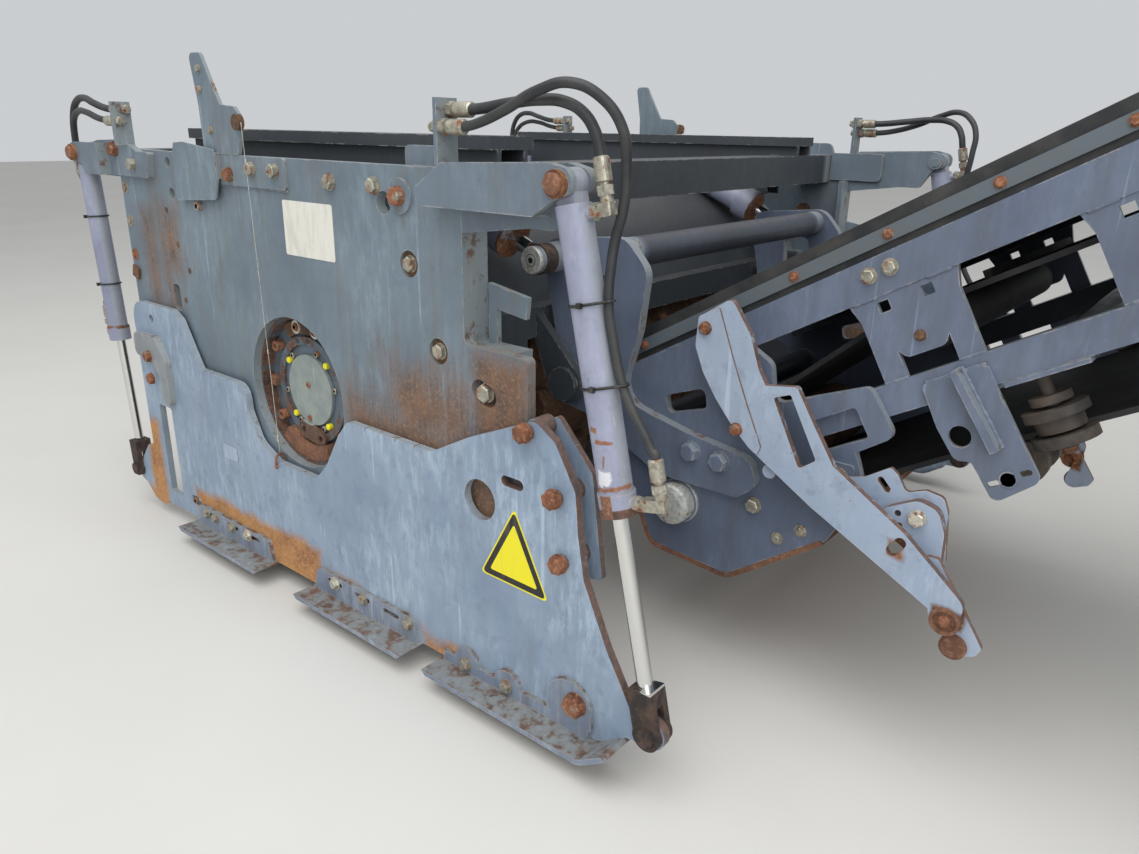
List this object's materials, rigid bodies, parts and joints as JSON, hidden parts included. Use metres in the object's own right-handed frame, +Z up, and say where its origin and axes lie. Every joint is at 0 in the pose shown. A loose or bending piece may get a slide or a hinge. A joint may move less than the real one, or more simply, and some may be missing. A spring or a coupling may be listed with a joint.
{
  "type": "milling unit of a cold planer",
  "caption": "Drum housing of a cold planer with liftable side plates, milling drum, rear scraper and a tilting pick-up conveyor.",
  "frame": {"origin": "centre of the bolt pattern on the housing's top mounting face", "axes": "+X forward along the conveyor, +Y to the machine's left, +Z up"},
  "size_m": [5.3735, 2.236, 2.5944],
  "materials": {
    "housing_paint": "weathered slate paint",
    "side_plate_paint": "scuffed blue-grey paint",
    "conveyor_paint": "semi-gloss slate-blue paint",
    "cylinder_paint": "lilac-grey paint",
    "chrome_rod": "polished",
    "worn_steel": "worn and dusty",
    "rusty_steel": "rusty",
    "belt_rubber": "matt"
  },
  "bodies": {
    "housing": {"wall_right": "housing_paint", "wall_left": "housing_paint", "drum_hood": "housing_paint", "front_frame": "housing_paint", "cross_beams": "housing_paint", "top_rails": "housing_paint", "front_arms": "side_plate_paint", "rear_brackets": "side_plate_paint", "wall_plates": "housing_paint", "bearing_carriers": "housing_paint", "cylinder_lugs": "housing_paint", "scraper_guides": "housing_paint", "scraper_barrels": "cylinder_paint"},
    "drum": {"drum_tube": "worn_steel", "tool_holders": "worn_steel", "picks": "rusty_steel"},
    "right_side": {"side_plate_right": "side_plate_paint", "clamp_plate_right": "side_plate_paint", "roller_plate_right": "side_plate_paint", "skids_right": "side_plate_paint"},
    "left_side": {"side_plate_left": "side_plate_paint", "clamp_plate_left": "side_plate_paint", "roller_plate_left": "side_plate_paint", "skids_left": "side_plate_paint"},
    "scraper": {"scraper_board": "housing_paint", "scraper_blade": "rusty_steel", "scraper_rods": "chrome_rod"},
    "loader": {"lift_levers": "housing_paint", "foot_sides": "conveyor_paint", "foot_shield": "rusty_steel", "upper_rails": "conveyor_paint", "lower_rails": "conveyor_paint", "rail_struts": "conveyor_paint", "cross_tubes": "conveyor_paint", "belt_carrying": "belt_rubber", "belt_return": "belt_rubber", "belt_wraps": "belt_rubber", "belt_bars": "belt_rubber", "belt_drums": "worn_steel", "carrying_idlers": "belt_rubber", "return_idlers": "belt_rubber", "drop_brackets": "conveyor_paint", "guard_arms": "side_plate_paint", "head_plates": "conveyor_paint", "belt_covers": "belt_rubber"},
    "loader_cylinders": {"loader_barrels": "cylinder_paint"},
    "loader_pistons": {"loader_rods": "chrome_rod"},
    "right_front_cylinder": {"front_barrel_right": "cylinder_paint"},
    "right_front_piston": {"front_rod_right": "chrome_rod"},
    "right_rear_cylinder": {"rear_barrel_right": "cylinder_paint"},
    "right_rear_piston": {"rear_rod_right": "chrome_rod"},
    "left_front_cylinder": {"front_barrel_left": "cylinder_paint"},
    "left_front_piston": {"front_rod_left": "chrome_rod"},
    "left_rear_cylinder": {"rear_barrel_left": "cylinder_paint"},
    "left_rear_piston": {"rear_rod_left": "chrome_rod"}
  },
  "joints": [
    {"name": "drum_spin", "type": "hinge", "parent": "housing", "child": "drum", "pos_m": [0, 0, -0.677], "axis": [0, 1, 0], "continuous": true},
    {"name": "scraper_lift", "type": "slide", "parent": "housing", "child": "scraper", "axis": [0, 0, 1], "range_m": [0, 0.3]},
    {"name": "loader_tilt", "type": "hinge", "parent": "housing", "child": "loader", "pos_m": [0.613, 0, -0.613], "axis": [0, -1, 0], "range_deg": [-2, 4]},
    {"name": "loader_cylinder_swing", "type": "hinge", "parent": "housing", "child": "loader_cylinders", "pos_m": [0.2, 0, -0.128], "axis": [0, -1, 0], "range_deg": [-1.9, 1]},
    {"name": "loader_cylinder_stroke", "type": "slide", "parent": "loader_cylinders", "child": "loader_pistons", "axis": [0.914, 0, -0.4057], "range_m": [-0.019, 0.0095]},
    {"name": "side_lift_right", "type": "slide", "parent": "housing", "child": "right_side", "axis": [0, 0, 1], "range_m": [0, 0.36]},
    {"name": "front_swing_right", "type": "hinge", "parent": "housing", "child": "right_front_cylinder", "pos_m": [0.975, -1.03, -0.074], "axis": [0, -1, 0], "range_deg": [0, 5.65]},
    {"name": "front_stroke_right", "type": "slide", "parent": "right_front_cylinder", "child": "right_front_piston", "axis": [-0.2196, 0, 0.9756], "range_m": [0, 0.3475]},
    {"name": "rear_swing_right", "type": "hinge", "parent": "housing", "child": "right_rear_cylinder", "pos_m": [-1.05, -1.03, -0.078], "axis": [0, -1, 0], "range_deg": [0, 1.62]},
    {"name": "rear_stroke_right", "type": "slide", "parent": "right_rear_cylinder", "child": "right_rear_piston", "axis": [-0.0606, 0, 0.9982], "range_m": [0, 0.3597]},
    {"name": "side_lift_left", "type": "slide", "parent": "housing", "child": "left_side", "axis": [0, 0, 1], "range_m": [0, 0.36]},
    {"name": "front_swing_left", "type": "hinge", "parent": "housing", "child": "left_front_cylinder", "pos_m": [0.975, 1.03, -0.074], "axis": [0, -1, 0], "range_deg": [0, 5.65]},
    {"name": "front_stroke_left", "type": "slide", "parent": "left_front_cylinder", "child": "left_front_piston", "axis": [-0.2196, 0, 0.9756], "range_m": [0, 0.3475]},
    {"name": "rear_swing_left", "type": "hinge", "parent": "housing", "child": "left_rear_cylinder", "pos_m": [-1.05, 1.03, -0.078], "axis": [0, -1, 0], "range_deg": [0, 1.62]},
    {"name": "rear_stroke_left", "type": "slide", "parent": "left_rear_cylinder", "child": "left_rear_piston", "axis": [-0.0606, 0, 0.9982], "range_m": [0, 0.3597]}
  ],
  "couplings": [
    {"joint": "loader_cylinder_swing", "follows": "loader_tilt", "ratio": -0.46},
    {"joint": "loader_cylinder_stroke", "follows": "loader_tilt", "m_per_rad": -0.27},
    {"joint": "front_swing_right", "follows": "side_lift_right", "rad_per_m": 0.273},
    {"joint": "front_stroke_right", "follows": "side_lift_right", "ratio": 0.964},
    {"joint": "rear_swing_right", "follows": "side_lift_right", "rad_per_m": 0.078},
    {"joint": "rear_stroke_right", "follows": "side_lift_right", "ratio": 0.998},
    {"joint": "front_swing_left", "follows": "side_lift_left", "rad_per_m": 0.273},
    {"joint": "front_stroke_left", "follows": "side_lift_left", "ratio": 0.964},
    {"joint": "rear_swing_left", "follows": "side_lift_left", "rad_per_m": 0.078},
    {"joint": "rear_stroke_left", "follows": "side_lift_left", "ratio": 0.998}
  ]
}
